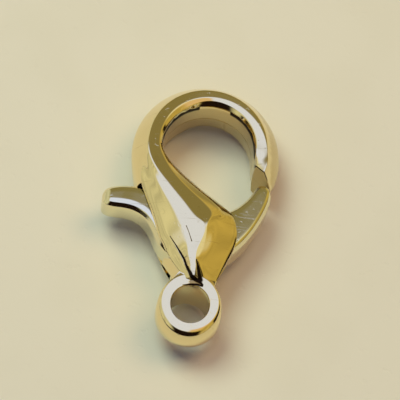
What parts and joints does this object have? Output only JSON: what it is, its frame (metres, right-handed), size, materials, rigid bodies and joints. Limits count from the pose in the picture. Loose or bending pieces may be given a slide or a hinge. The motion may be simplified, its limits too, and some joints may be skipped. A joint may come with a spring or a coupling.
{
  "type": "lobster clasp",
  "caption": "Lobster clasp with a hook, a sprung thumb lever that closes it and a thick fixed ring, cast in pale gold-coloured metal.",
  "frame": {"origin": "centre of the ring's hole, at half its depth", "axes": "+Y from the ring to the hook, +Z out of the front face along the ring's hole and the lever's pivot, +X to the side of the hook's mouth"},
  "size_m": [0.0072, 0.0118, 0.003],
  "materials": {
    "cast_gold": "polished pale gold plating on a cast body",
    "lever_gold": "polished pale gold plating on a cast lever",
    "pin_gold": "polished pale gold plating",
    "spring_steel": "bright drawn wire"
  },
  "bodies": {
    "case": {"body": "cast_gold", "pivot_pin": "pin_gold", "return_spring": "spring_steel"},
    "trigger": {"lever": "lever_gold"}
  },
  "joints": [
    {"name": "lever_pivot", "type": "hinge", "parent": "case", "child": "trigger", "pos_m": [-0.00009, 0.0034, 0], "axis": [0, 0, 1], "range_deg": [0, 18], "stiffness_Nm_per_rad": 0.004, "springref_deg": -20.05}
  ]
}
